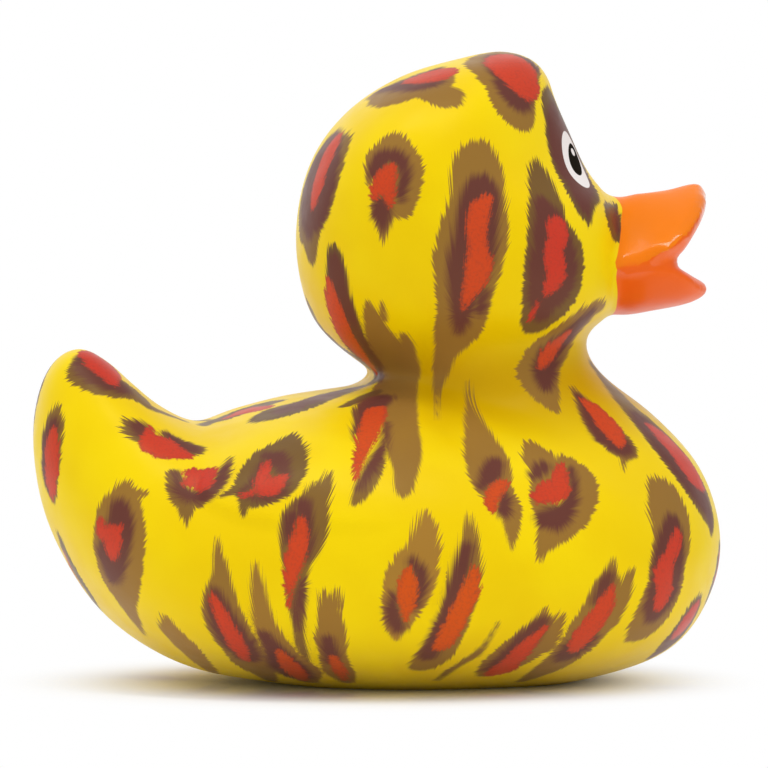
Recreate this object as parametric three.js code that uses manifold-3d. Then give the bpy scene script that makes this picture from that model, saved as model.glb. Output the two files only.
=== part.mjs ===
// A rubber duck: one hollow vinyl casting with an upturned tail, a round head and an open bill.
// Millimetres. +X is the way the duck faces, +Z is up, and it stands on Z = 0.
import * as THREE from "three";
import { mergeVertices } from "three/addons/utils/BufferGeometryUtils.js";
import Module from "manifold-3d";

// Driving dimensions
const WALL = 2.2; // rotocast skin
const VENT_DIAMETER = 3; // breather hole in the base
const VENT_X = -2;
const VENT_LENGTH = 6 * WALL; // well through the floor on both sides
const BASE_FLAT = 1.1; // how much of the round belly the flat base takes off
const WING_RELIEF = 0.8; // how far a folded wing stands out of the side
const FLOOR_WIDTH = 120; // the block under the floor is wider than the duck
const FLOOR_DEPTH = 20;
const PAINT = 0xf2d40c;
const GLOSS_ROUGHNESS = 0.35;

// Facets: steps along a loft and steps around it
const BODY_FACETS = [64, 44];
const CAVITY_FACETS = [34, 22];
const BILL_FACETS = [24, 36];
const VENT_FACETS = 16;
const FINE_STEPS = 40; // to each step along a loft, where its length is measured
const FAIRING = 4; // passes that even the body's skin out between its ribs
const CAVITY_FAIRING = 2;
const FAIR_IN = 0.5;
const FAIR_OUT = -0.52; // gives back the size that the first half of a pass took
const EASING = 6; // passes that soften the fold beside the neck

// A rib is one cross-section. It runs from a point on the back to a point on the belly, both
// on the centre plane, and half is its half width. taper above 0 makes the end at the back
// wider and the end at the belly narrower, and fullness squares the section off.
const rib = (back, belly, half, taper = 0, fullness = 0) => ({ back, belly, half, taper, fullness });

// A lipped rib is widest at its lip, which is a share of the way down from back to belly.
const lipped = (back, belly, half, lip) => ({ back, belly, half, lip });
const ROOF = 1.35; // below 2, the sides run straight down to the lip
const RIM = 6; // the higher, the thinner the rim under the lip

// The ribs fan round the crease behind the neck, so that one skin runs from tail to crown.
const TAIL_TIP = [-44, 45.1];
const CROWN = [17.1, 86.9];
const BODY_RIBS = [
  // tail
  rib([-41.2, 46.2], [-46.1, 42.3], 4.4),
  rib([-37.6, 44.4], [-47.6, 35.7], 9),
  rib([-34.2, 41.4], [-46.6, 25.7], 14),
  rib([-30.2, 38.2], [-43.2, 17.2], 19.5, -0.03),
  rib([-24.9, 36.1], [-37.2, 9], 26, -0.05, 0.01),
  // back and belly
  rib([-19, 37.9], [-27.2, 2.7], 31.5, -0.07, 0.02),
  rib([-12, 39.6], [-14.7, 0.2], 35.8, -0.09, 0.03),
  rib([-5.7, 40.5], [-0.9, -BASE_FLAT], 38, -0.1, 0.03),
  rib([-2.6, 41], [12.9, -BASE_FLAT], 38, -0.1, 0.03),
  // breast, fanned about the crease
  rib([-1.3, 41.6], [28.1, 0.2], 36.5, -0.1, 0.03),
  rib([-0.8, 42], [40.9, 4.9], 34, -0.1, 0.02),
  rib([-0.7, 42.4], [47.2, 15.9], 30, -0.12),
  rib([-0.8, 42.7], [45.2, 28.5], 22.5, -0.2),
  rib([-1.2, 43.1], [37.8, 37.2], 18.3, -0.08),
  // neck
  rib([-2, 43.8], [31.5, 42], 17.2),
  rib([-3.7, 45], [28.7, 46.2], 17),
  rib([-6.4, 47.2], [29.8, 48.8], 18.4),
  // head
  rib([-8.9, 50.3], [32.8, 50.8], 20.4),
  rib([-10.3, 54.5], [34, 54.4], 22),
  rib([-11.1, 59.8], [33.7, 59.9], 22.8),
  rib([-10.7, 65.3], [33.1, 65.8], 22.5, 0.1),
  rib([-9.5, 70], [29.8, 69.3], 21.2, 0.25),
  rib([-7.1, 74.8], [27.2, 74.7], 19.4, 0.25),
  rib([-2.8, 79.5], [24.8, 79.9], 16.4, 0.15),
  rib([3.9, 83.6], [23.6, 83.4], 11.6, 0.08),
  rib([10.9, 85.7], [21.4, 85.8], 6.4),
];

// The upper bill is a roof that turns up at its tip, with a lip that rises from the corner of the
// mouth, and the lower bill a shallow scoop.
const UPPER_BILL = {
  root: [28, 62],
  ribs: [
    lipped([30.3, 66.3], [30.3, 57.3], 11, 0.95),
    lipped([33.9, 67.1], [33.9, 57], 13, 0.93),
    lipped([37.7, 67.5], [37.7, 57.5], 14.2, 0.8),
    lipped([41, 67.9], [40.4, 58.3], 13, 0.65),
    lipped([43.5, 68.5], [42.8, 61], 10.4, 0.6),
    lipped([45.2, 68.7], [44.9, 64], 6.6, 0.58),
    lipped([46.1, 68.2], [46, 65.9], 3.3, 0.56),
  ],
  tip: [46.5, 67.2],
};
const LOWER_BILL = {
  root: [28, 54],
  ribs: [
    rib([31.5, 58.3], [31.5, 50.8], 10.6, 0.3, 0.08),
    rib([34.5, 58.7], [34.5, 50.4], 11.4, 0.35, 0.1),
    rib([38.3, 58.7], [38.6, 51], 11, 0.35, 0.1),
    rib([41.5, 57], [42.4, 51.7], 9.3, 0.3, 0.08),
    rib([44.2, 55.7], [44.6, 52.4], 6.4, 0.15),
    rib([45.6, 55], [45.8, 53.2], 3.4),
  ],
  tip: [46.1, 54.4],
};

// The fold beside the neck, seen from the side: its middle, how far it reaches, the share of that
// reach with the full easing, and how far out from the centre plane the easing starts and is full
const FOLD = { middle: [6, 42], reach: [13, 7], core: 0.4, from: 3, full: 8, ease: 0.5 };

// The folded wing, seen from the side: the line from where it is deepest to its tip, how far it
// reaches below and above that line, the width of its crisp lower edge, and where along the line
// it fades in
const WING = { deepest: [-14, 27], tip: [-28.2, 26.8], below: 4.8, above: 11, edge: 2, fade: [-1.1, 0.2] };

const wasm = await Module();
wasm.setup();

// One closed loop carries the outline and the width together: out along the backs at plus the
// half width, and home along the bellies at minus the half width, smooth through both tips.
function outlineOf(start, ribs, end) {
  const backs = ribs.map((r) => new THREE.Vector3(r.back[0], r.half, r.back[1]));
  const bellies = ribs.map((r) => new THREE.Vector3(r.belly[0], -r.half, r.belly[1]));
  const tip = ([x, z]) => new THREE.Vector3(x, 0, z);
  const loop = [tip(start), ...backs, tip(end), ...bellies.reverse()];
  return new THREE.CatmullRomCurve3(loop, true, "centripetal");
}

// Places along the ribs, from 0 at the start tip to 1 at the end tip, about evenly spread
// over the longer of the two sides.
function evenPlaces(outline, steps) {
  const fine = FINE_STEPS * steps;
  const travelled = [0];
  for (let i = 1; i <= fine; i++) {
    const [a, b] = [(i - 1) / fine / 2, i / fine / 2];
    const back = outline.getPoint(a).distanceTo(outline.getPoint(b));
    const belly = outline.getPoint(1 - a).distanceTo(outline.getPoint(1 - b));
    travelled.push(travelled[i - 1] + Math.max(back, belly));
  }
  const places = [];
  for (let s = 1, i = 0; s < steps; s++) {
    while (travelled[i] < (travelled[fine] * s) / steps) i++;
    places.push(i / fine);
  }
  return places;
}

// A rib's taper and fullness, or its lip, at a place between ribs. The tips share their neighbour's.
function characterAt(ribs, place) {
  const at = place * (ribs.length + 1) - 1;
  const low = THREE.MathUtils.clamp(Math.floor(at), 0, ribs.length - 1);
  const high = Math.min(low + 1, ribs.length - 1);
  const share = THREE.MathUtils.smoothstep(at - low, 0, 1);
  const between = (key) => THREE.MathUtils.lerp(ribs[low][key], ribs[high][key], share);
  if (ribs[low].lip) return { lip: between("lip") };
  return { taper: between("taper"), fullness: between("fullness") };
}

// How far a section is down from back to belly and out from the centre plane, at a turn from the back
function roundSection({ taper, fullness }, turn) {
  const round = (Math.sin(turn) + fullness * Math.sin(3 * turn)) / (1 - fullness);
  return { down: (1 - Math.cos(turn)) / 2, out: round * (1 + taper * Math.cos(turn)) };
}

function lippedSection({ lip }, turn) {
  const out = Math.sin(turn);
  const over = lip * Math.abs(out) ** ROOF;
  const under = 1 - (1 - lip) * Math.abs(out) ** RIM;
  return { down: Math.cos(turn) > 0 ? over : under, out };
}

// The ring of points of the section at a place, from the back round the left side.
function ringAt(outline, ribs, place, around) {
  const back = outline.getPoint(place / 2);
  const belly = outline.getPoint(1 - place / 2);
  const half = (back.y - belly.y) / 2;
  const character = characterAt(ribs, place);
  const section = character.lip ? lippedSection : roundSection;
  const ring = [];
  for (let j = 0; j < around; j++) {
    const { down, out } = section(character, (2 * Math.PI * j) / around);
    const spine = back.clone().lerp(belly, down);
    ring.push(new THREE.Vector3(spine.x, half * out, spine.z));
  }
  return ring;
}

// Moves each point a share of the way to the middle of its four neighbours.
function relax(start, rings, end, shareAt) {
  const around = rings[0].length;
  return rings.map((ring, i) =>
    ring.map((point, j) => {
      const before = i > 0 ? rings[i - 1][j] : start;
      const after = i + 1 < rings.length ? rings[i + 1][j] : end;
      const left = ring[(j + 1) % around];
      const right = ring[(j + around - 1) % around];
      const middle = before.clone().add(after).add(left).add(right).divideScalar(4);
      return middle.lerp(point, 1 - shareAt(point));
    }),
  );
}

// How much a point beside the neck is eased
function foldShare({ x, y, z }) {
  const off = Math.hypot((x - FOLD.middle[0]) / FOLD.reach[0], (z - FOLD.middle[1]) / FOLD.reach[1]);
  const near = 1 - THREE.MathUtils.smoothstep(off, FOLD.core, 1);
  return FOLD.ease * near * THREE.MathUtils.smoothstep(Math.abs(y), FOLD.from, FOLD.full);
}

// The closed skin over a row of ribs, as an indexed geometry with smooth normals. Each patch
// of four points is parted along its shorter diagonal.
function skin(start, ribs, end, [steps, around], fairing, easing = 0) {
  const outline = outlineOf(start, ribs, end);
  const [first, final] = [outline.getPoint(0), outline.getPoint(0.5)];
  let rings = evenPlaces(outline, steps).map((place) => ringAt(outline, ribs, place, around));
  for (let pass = 0; pass < fairing; pass++) {
    rings = relax(first, rings, final, () => FAIR_IN);
    rings = relax(first, rings, final, () => FAIR_OUT);
  }
  for (let pass = 0; pass < easing; pass++) rings = relax(first, rings, final, foldShare);
  const points = [first, ...rings.flat(), final];
  const last = points.length - 1;
  const at = (ring, j) => 1 + ring * around + (j % around);
  const faces = [];
  for (let j = 0; j < around; j++) {
    faces.push(0, at(0, j), at(0, j + 1));
    for (let i = 0; i + 1 < rings.length; i++) {
      const [a, b, c, d] = [at(i, j), at(i + 1, j), at(i + 1, j + 1), at(i, j + 1)];
      const alongAC = points[a].distanceTo(points[c]) < points[b].distanceTo(points[d]);
      faces.push(...(alongAC ? [a, b, c, a, c, d] : [a, b, d, b, c, d]));
    }
    faces.push(at(rings.length - 1, j), last, at(rings.length - 1, j + 1));
  }
  const geometry = new THREE.BufferGeometry().setFromPoints(points);
  geometry.setIndex(faces);
  geometry.computeVertexNormals();
  return geometry;
}

// Moves each vertex along its normal by distance(point).
function push(geometry, distance) {
  const position = geometry.attributes.position;
  const normal = geometry.attributes.normal;
  const point = new THREE.Vector3();
  const way = new THREE.Vector3();
  for (let i = 0; i < position.count; i++) {
    point.fromBufferAttribute(position, i);
    way.fromBufferAttribute(normal, i);
    point.addScaledVector(way, distance(point));
    position.setXYZ(i, point.x, point.y, point.z);
  }
  return geometry;
}

// How far the wing stands out at a point: a teardrop that is crisp below and fades above and ahead.
function wingRelief({ x, z }) {
  const [deepX, deepZ] = WING.deepest;
  const [tipX, tipZ] = WING.tip;
  const along = (deepX - x) / (deepX - tipX);
  const middle = THREE.MathUtils.lerp(deepZ, tipZ, along);
  const roundness = Math.sqrt(THREE.MathUtils.clamp(1 - along * Math.abs(along), 0, 1));
  const foot = middle - WING.below * roundness;
  const below = THREE.MathUtils.smoothstep(z, foot, foot + WING.edge);
  const above = 1 - THREE.MathUtils.smoothstep(z, middle, middle + WING.above * roundness);
  const ahead = THREE.MathUtils.smoothstep(along, ...WING.fade);
  return roundness > 0 ? WING_RELIEF * below * above * ahead : 0;
}

function solidOf(geometry) {
  const bare = geometry.clone();
  bare.deleteAttribute("normal");
  bare.deleteAttribute("uv");
  const merged = mergeVertices(bare);
  const vertProperties = merged.attributes.position.array;
  const triVerts = new Uint32Array(merged.index.array);
  return new wasm.Manifold(new wasm.Mesh({ numProp: 3, vertProperties, triVerts }));
}

function geometryOf(solid) {
  const { vertProperties, triVerts } = solid.getMesh();
  const geometry = new THREE.BufferGeometry();
  geometry.setAttribute("position", new THREE.BufferAttribute(vertProperties, 3));
  geometry.setIndex(new THREE.BufferAttribute(triVerts, 1));
  geometry.computeVertexNormals();
  return geometry;
}

function bill({ root, ribs, tip }) {
  return solidOf(skin(root, ribs, tip, BILL_FACETS, 0));
}

// All that lies below the floor, which the flat base is cut with
function belowFloor() {
  const block = new THREE.BoxGeometry(FLOOR_WIDTH, FLOOR_WIDTH, FLOOR_DEPTH);
  return solidOf(block.translate(0, 0, -FLOOR_DEPTH / 2));
}

function vent() {
  const hole = new THREE.CylinderGeometry(VENT_DIAMETER / 2, VENT_DIAMETER / 2, VENT_LENGTH, VENT_FACETS);
  return solidOf(hole.rotateX(Math.PI / 2).translate(VENT_X, 0, 0));
}

function cavity() {
  const inside = skin(TAIL_TIP, BODY_RIBS, CROWN, CAVITY_FACETS, CAVITY_FAIRING);
  const floor = belowFloor().translate([0, 0, WALL]);
  return solidOf(push(inside, () => -WALL)).subtract(floor);
}

function duck() {
  const shell = skin(TAIL_TIP, BODY_RIBS, CROWN, BODY_FACETS, FAIRING, EASING);
  return solidOf(push(shell, wingRelief))
    .add(bill(UPPER_BILL))
    .add(bill(LOWER_BILL))
    .subtract(belowFloor())
    .subtract(cavity())
    .subtract(vent());
}

const vinyl = new THREE.MeshStandardMaterial({ color: PAINT, roughness: GLOSS_ROUGHNESS, metalness: 0 });
const body = new THREE.Mesh(geometryOf(duck()), vinyl);
body.name = "duck";

const rubberDuck = new THREE.Group();
rubberDuck.add(body);

export default rubberDuck;
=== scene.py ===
"""A rubber duck with a leopard print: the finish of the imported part, in its own frame.

The skin is lofted again over the part's ribs at a finer pitch, joined with the bill, and painted by
distance: each print spot is a few brush strokes laid on the skin.
"""
import math

import bpy
import numpy as np
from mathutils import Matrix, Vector
from mathutils.bvhtree import BVHTree
from mathutils.kdtree import KDTree


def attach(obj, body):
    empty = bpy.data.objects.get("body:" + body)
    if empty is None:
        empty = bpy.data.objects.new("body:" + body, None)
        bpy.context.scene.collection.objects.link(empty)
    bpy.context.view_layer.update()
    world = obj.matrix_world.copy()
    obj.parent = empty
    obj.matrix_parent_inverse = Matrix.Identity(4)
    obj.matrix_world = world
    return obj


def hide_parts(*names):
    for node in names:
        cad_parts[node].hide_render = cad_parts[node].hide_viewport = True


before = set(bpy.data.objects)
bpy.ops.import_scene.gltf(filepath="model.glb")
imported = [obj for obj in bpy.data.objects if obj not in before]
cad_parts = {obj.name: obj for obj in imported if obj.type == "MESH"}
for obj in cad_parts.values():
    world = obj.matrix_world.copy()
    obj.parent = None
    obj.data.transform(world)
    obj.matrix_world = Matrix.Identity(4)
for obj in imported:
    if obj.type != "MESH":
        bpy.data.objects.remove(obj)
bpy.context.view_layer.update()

MM = 0.001
TINY = 1e-6

# The camera: the photograph's side view, from a little behind, and its scale in the 768 px frame
IMAGE_SIDE = 768
VIEW_AZIMUTH = math.radians(-10)
VIEW_ELEVATION = math.radians(2)
VIEW_DISTANCE = 900.0
PX_PER_MM = 7.255
VIEW_PIVOT = np.array([0.0, 0.0, 44.0])
VIEW_PIVOT_PX = np.array([377.3, 362.5])
SENSOR = 36.0
CLIP_END = 10.0

RIGHT = np.array([math.cos(VIEW_AZIMUTH), math.sin(VIEW_AZIMUTH), 0.0])
TOWARDS = np.array([
    math.sin(VIEW_AZIMUTH) * math.cos(VIEW_ELEVATION),
    -math.cos(VIEW_AZIMUTH) * math.cos(VIEW_ELEVATION),
    math.sin(VIEW_ELEVATION),
])
UP = np.cross(TOWARDS, RIGHT)
OFF_PIVOT = (IMAGE_SIDE / 2 - VIEW_PIVOT_PX) / PX_PER_MM
CAMERA_PLACE = VIEW_PIVOT + RIGHT * OFF_PIVOT[0] - UP * OFF_PIVOT[1] + TOWARDS * VIEW_DISTANCE

# The form, in millimetres, as the part has it: back x, z, belly x, z, half width, taper, fullness
BASE_FLAT = 1.1
TAIL_TIP = (-44, 45.1)
CROWN = (17.1, 86.9)
BODY_RIBS = [
    # tail
    (-41.2, 46.2, -46.1, 42.3, 4.4, 0, 0),
    (-37.6, 44.4, -47.6, 35.7, 9, 0, 0),
    (-34.2, 41.4, -46.6, 25.7, 14, 0, 0),
    (-30.2, 38.2, -43.2, 17.2, 19.5, -0.03, 0),
    (-24.9, 36.1, -37.2, 9, 26, -0.05, 0.01),
    # back and belly
    (-19, 37.9, -27.2, 2.7, 31.5, -0.07, 0.02),
    (-12, 39.6, -14.7, 0.2, 35.8, -0.09, 0.03),
    (-5.7, 40.5, -0.9, -BASE_FLAT, 38, -0.1, 0.03),
    (-2.6, 41, 12.9, -BASE_FLAT, 38, -0.1, 0.03),
    # breast, fanned about the crease behind the neck
    (-1.3, 41.6, 28.1, 0.2, 36.5, -0.1, 0.03),
    (-0.8, 42, 40.9, 4.9, 34, -0.1, 0.02),
    (-0.7, 42.4, 47.2, 15.9, 30, -0.12, 0),
    (-0.8, 42.7, 45.2, 28.5, 22.5, -0.2, 0),
    (-1.2, 43.1, 37.8, 37.2, 18.3, -0.08, 0),
    # neck
    (-2, 43.8, 31.5, 42, 17.2, 0, 0),
    (-3.7, 45, 28.7, 46.2, 17, 0, 0),
    (-6.4, 47.2, 29.8, 48.8, 18.4, 0, 0),
    # head
    (-8.9, 50.3, 32.8, 50.8, 20.4, 0, 0),
    (-10.3, 54.5, 34, 54.4, 22, 0, 0),
    (-11.1, 59.8, 33.7, 59.9, 22.8, 0, 0),
    (-10.7, 65.3, 33.1, 65.8, 22.5, 0.1, 0),
    (-9.5, 70, 29.8, 69.3, 21.2, 0.25, 0),
    (-7.1, 74.8, 27.2, 74.7, 19.4, 0.25, 0),
    (-2.8, 79.5, 24.8, 79.9, 16.4, 0.15, 0),
    (3.9, 83.6, 23.6, 83.4, 11.6, 0.08, 0),
    (10.9, 85.7, 21.4, 85.8, 6.4, 0, 0),
]
UPPER_ROOT = (28, 62)
UPPER_TIP = (46.5, 67.2)
# A rib of the upper bill has a lip in place of taper and fullness: a share of the way from back to belly
ROOF = 1.35
RIM = 6
UPPER_RIBS = [
    (30.3, 66.3, 30.3, 57.3, 11, 0.95),
    (33.9, 67.1, 33.9, 57, 13, 0.93),
    (37.7, 67.5, 37.7, 57.5, 14.2, 0.8),
    (41, 67.9, 40.4, 58.3, 13, 0.65),
    (43.5, 68.5, 42.8, 61, 10.4, 0.6),
    (45.2, 68.7, 44.9, 64, 6.6, 0.58),
    (46.1, 68.2, 46, 65.9, 3.3, 0.56),
]
LOWER_ROOT = (28, 54)
LOWER_TIP = (46.1, 54.4)
LOWER_RIBS = [
    (31.5, 58.3, 31.5, 50.8, 10.6, 0.3, 0.08),
    (34.5, 58.7, 34.5, 50.4, 11.4, 0.35, 0.1),
    (38.3, 58.7, 38.6, 51, 11, 0.35, 0.1),
    (41.5, 57, 42.4, 51.7, 9.3, 0.3, 0.08),
    (44.2, 55.7, 44.6, 52.4, 6.4, 0.15, 0),
    (45.6, 55, 45.8, 53.2, 3.4, 0, 0),
]

# How finely the skin is lofted (rings along, points around), faired and fused
BODY_PITCH = (96, 64)
BILL_PITCH = (40, 48)
FINE_STEPS = 40
FAIRING = 6
LOWER_FAIRING = 1
FAIR_IN, FAIR_OUT = 0.5, -0.52
SUBDIVISIONS = 2
VOXEL = 0.6

VENT_DIAMETER = 3.0
VENT_FACETS = 32
VENT_X = -2.0
WALL = 2.2

# Where the fused skin is eased, and in how many passes: at the seams of the bill, beside the neck, along
# the bill's lip and, last, all over
EASE = 0.5
SEAM = (1.6, 0.2)
SEAM_EASING = 14
FOLD_MIDDLE = (6.0, 42.0)
FOLD_REACH = (13.0, 7.0)
FOLD_CORE = 0.4
FOLD_SIDE = (3.0, 8.0)
FOLD_EASING = 62
LIP_SNAP = 0.4
LIP_STEPS = 400
LIP_BAND = (2.2, 0.8)
LIP_EASING = 20
LAST_EASE = 0.3
LAST_EASING = 2

# The corner where the top of the bill leaves the face, rounded off: its place in x and z, how far
# the rounding goes and how far the paint's edge lies along the bill
BROW = (32.6, 66.8)
BROW_BAND = (3.6, 1.4)
BROW_EASING = 40
BROW_PAINT = 0.6

# Painted shade under the head, as a deeper yellow round the neck: its height, how far it spreads and where
# it sets in
NECK_SHADE_HEIGHT = 41.5
NECK_SHADE_REACH = 11.0
NECK_SHADE_FROM = (-4.0, 6.0)

# A folded wing, in x and z
WING_RELIEF = 0.8
WING_DEEPEST = (-14.0, 27.0)
WING_TIP = (-28.2, 26.8)
WING_BELOW = 4.8
WING_ABOVE = 11.0
WING_EDGE = 2.0
WING_FADE = (-1.1, 0.2)


# The print as the photograph shows it. A spot is a brown field with a maroon and a red one in it, each
# laid by brush strokes: rows of x, y and radius in the photograph's pixels. deep darkens the brown
# from gold to olive, and warm turns the red to orange.
KINDS = ("outer", "dark", "core")


def spot(outer, dark=(), core=(), deep=0.4, warm=0.2):
    return {"outer": outer, "dark": dark, "core": core, "deep": deep, "warm": warm}


HEAD_SPOTS = {
    "crown_back": spot(deep=0.35, outer=[
        [(373, 95, 3), (392, 92, 8), (412, 86, 10), (432, 83, 9)],
        [(431, 91, 9), (448, 97, 11)],
    ], dark=[
        [(381, 90, 2), (402, 84, 5), (424, 84, 5), (441, 82, 2)],
        [(412, 77, 2), (438, 69, 2)],
    ], core=[
        [(408, 80, 2), (424, 77, 5), (439, 74, 6)],
    ]),
    "forehead": spot(deep=0.35, outer=[
        [(503, 58, 24), (508, 72, 25), (512, 86, 22), (514, 99, 20), (519, 111, 14), (525, 120, 7),
         (528, 126, 2)],
    ], dark=[
        [(494, 56, 6), (503, 74, 9), (511, 90, 11), (521, 99, 10), (530, 97, 6)],
        [(516, 56, 2), (528, 60, 3), (534, 67, 2)],
    ], core=[
        [(507, 58, 8), (515, 68, 14), (521, 78, 14), (528, 86, 7), (532, 94, 3)],
    ]),
    "nape": spot(deep=0.6, outer=[
        [(343, 144, 5), (327, 164, 12), (319, 189, 14), (312, 211, 11), (310, 236, 8), (311, 252, 5),
         (313, 264, 1)],
        [(325, 149, 6), (316, 166, 8), (308, 187, 8), (305, 207, 8), (304, 225, 6)],
    ], dark=[
        [(326, 146, 5), (320, 165, 12), (315, 190, 14), (311, 210, 9), (309, 230, 4)],
    ], core=[
        [(335, 142, 3.5), (329, 153, 5), (322, 170, 5), (317, 186, 5), (314, 199, 3.5), (313, 206, 2)],
    ]),
    "cheek_round": spot(deep=0.3, warm=0.4, outer=[
        [(382, 160, 17), (393, 152, 18), (402, 166, 20), (403, 186, 18), (401, 203, 14), (405, 212, 7)],
        [(372, 166, 7), (369, 182, 3)],
        [(383, 206, 13), (383, 223, 8), (383, 242, 2)],
    ], dark=[
        [(374, 172, 6), (380, 161, 8), (391, 156, 8), (402, 162, 8), (404, 178, 6), (401, 195, 6)],
        [(381, 207, 10), (382, 217, 9), (383, 229, 4)],
    ], core=[
        [(390, 170, 7), (384, 182, 11), (377, 189, 8)],
        [(389, 182, 8), (389, 197, 6), (390, 205, 3)],
        [(375, 191, 6), (374, 199, 3)],
    ]),
    "cheek_long": spot(deep=0.35, warm=0.5, outer=[
        [(482, 152, 12), (479, 170, 25), (479, 190, 27), (477, 210, 29), (474, 235, 35), (468, 262, 35)],
        [(468, 262, 35), (464, 290, 29), (461, 319, 25), (454, 335, 19), (446, 351, 12), (441, 370, 9)],
        [(441, 370, 8), (438, 386, 5), (437, 400, 2.5), (437, 420, 1)],
    ], dark=[
        [(485, 181, 7), (482, 195, 19), (478, 215, 22), (475, 240, 23), (470, 265, 23), (465, 292, 17)],
        [(465, 292, 17), (461, 318, 10), (459, 331, 5)],
        [(484, 292, 6), (480, 310, 7)],
    ], core=[
        [(488, 199, 6), (480, 210, 11), (477, 228, 11), (478, 246, 10), (479, 263, 14), (477, 276, 13)],
        [(477, 276, 13), (471, 289, 9), (466, 301, 5), (464, 309, 2)],
    ]),
    "cheek_front": spot(deep=0.8, warm=0.0, outer=[
        [(537, 162, 3), (540, 176, 9), (543, 192, 12), (547, 210, 17), (549, 226, 20), (553, 242, 24)],
        [(553, 242, 24), (557, 258, 29), (556, 275, 29), (553, 290, 27), (548, 303, 22), (540, 317, 15)],
        [(540, 317, 15), (529, 329, 4)],
    ], dark=[
        [(544, 207, 9), (549, 220, 14), (551, 236, 18), (555, 252, 22), (555, 268, 24), (552, 284, 22)],
        [(552, 284, 22), (545, 298, 15), (543, 312, 10)],
    ], core=[
        [(557, 228, 10), (558, 238, 10), (553, 250, 9), (555, 262, 11), (557, 273, 10), (552, 285, 7)],
        [(552, 285, 7), (547, 292, 4)],
        [(537, 303, 2), (533, 311, 3), (530, 320, 2)],
    ]),
    "eye_band": spot(deep=0.9, outer=[
        [(550, 97, 3), (553, 111, 7), (560, 129, 10), (566, 147, 13), (571, 165, 13), (577, 180, 12)],
        [(577, 180, 12), (580, 193, 10), (583, 205, 8), (588, 218, 4), (589, 226, 1)],
        [(551, 98, 4), (558, 115, 7), (567, 135, 8), (575, 154, 7), (582, 168, 4)],
    ], dark=[
        [(557, 122, 6), (562, 140, 10), (568, 155, 12), (574, 172, 11), (579, 187, 8), (583, 202, 6),
         (587, 214, 2)],
        [(556, 112, 4), (566, 134, 5), (574, 152, 4)],
    ]),
    "bill_root": spot(deep=0.9, outer=[
        [(616, 205, 2), (614, 211, 4), (613, 220, 6), (615, 230, 4)],
    ], dark=[
        [(617, 212, 2), (615, 221, 3), (617, 230, 2)],
    ]),
    "throat": spot(deep=0.3, warm=0.5, outer=[
        [(602, 306, 3), (588, 314, 6), (573, 328, 9), (556, 343, 14), (543, 360, 19), (538, 375, 19)],
        [(538, 375, 19), (545, 392, 13), (552, 404, 7), (557, 412, 2)],
    ], dark=[
        [(590, 314, 3), (574, 329, 5), (560, 344, 8), (549, 358, 12), (545, 372, 12), (545, 385, 7)],
    ], core=[
        [(568, 333, 2), (558, 343, 4), (549, 353, 7), (543, 361, 6), (540, 367, 3)],
    ]),
    "crease_strip": spot(deep=0.9, warm=0.5, outer=[
        [(334, 253, 6), (336, 270, 10), (338, 290, 10), (343, 310, 11), (348, 328, 10), (357, 346, 8)],
        [(357, 346, 8), (368, 360, 7), (379, 373, 5), (384, 382, 3), (380, 390, 3), (366, 397, 3),
         (342, 407, 1)],
    ], dark=[
        [(335, 262, 6), (337, 278, 9), (341, 296, 8), (348, 315, 7), (355, 333, 6), (364, 350, 5),
         (375, 366, 4), (383, 379, 2)],
    ], core=[
        [(328, 282, 3), (332, 300, 6), (338, 318, 7), (345, 335, 6), (355, 349, 4), (367, 362, 3),
         (374, 370, 2)],
    ]),
    "nape_edge": spot(deep=0.9, outer=[
        [(308, 304, 2.5), (320, 328, 3), (336, 344, 3), (352, 355, 2.5), (366, 366, 2)],
    ]),
    "neck_column": spot(deep=0.35, outer=[
        [(368, 304, 3), (372, 318, 8), (379, 334, 11), (388, 350, 14), (396, 364, 18), (397, 382, 19)],
        [(397, 382, 19), (398, 402, 19), (401, 425, 17), (404, 448, 17), (406, 468, 13), (404, 488, 9),
         (403, 497, 2)],
        [(404, 336, 4), (408, 350, 8), (406, 366, 11)],
        [(382, 303, 2), (383, 318, 5)],
    ]),
}

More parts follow.
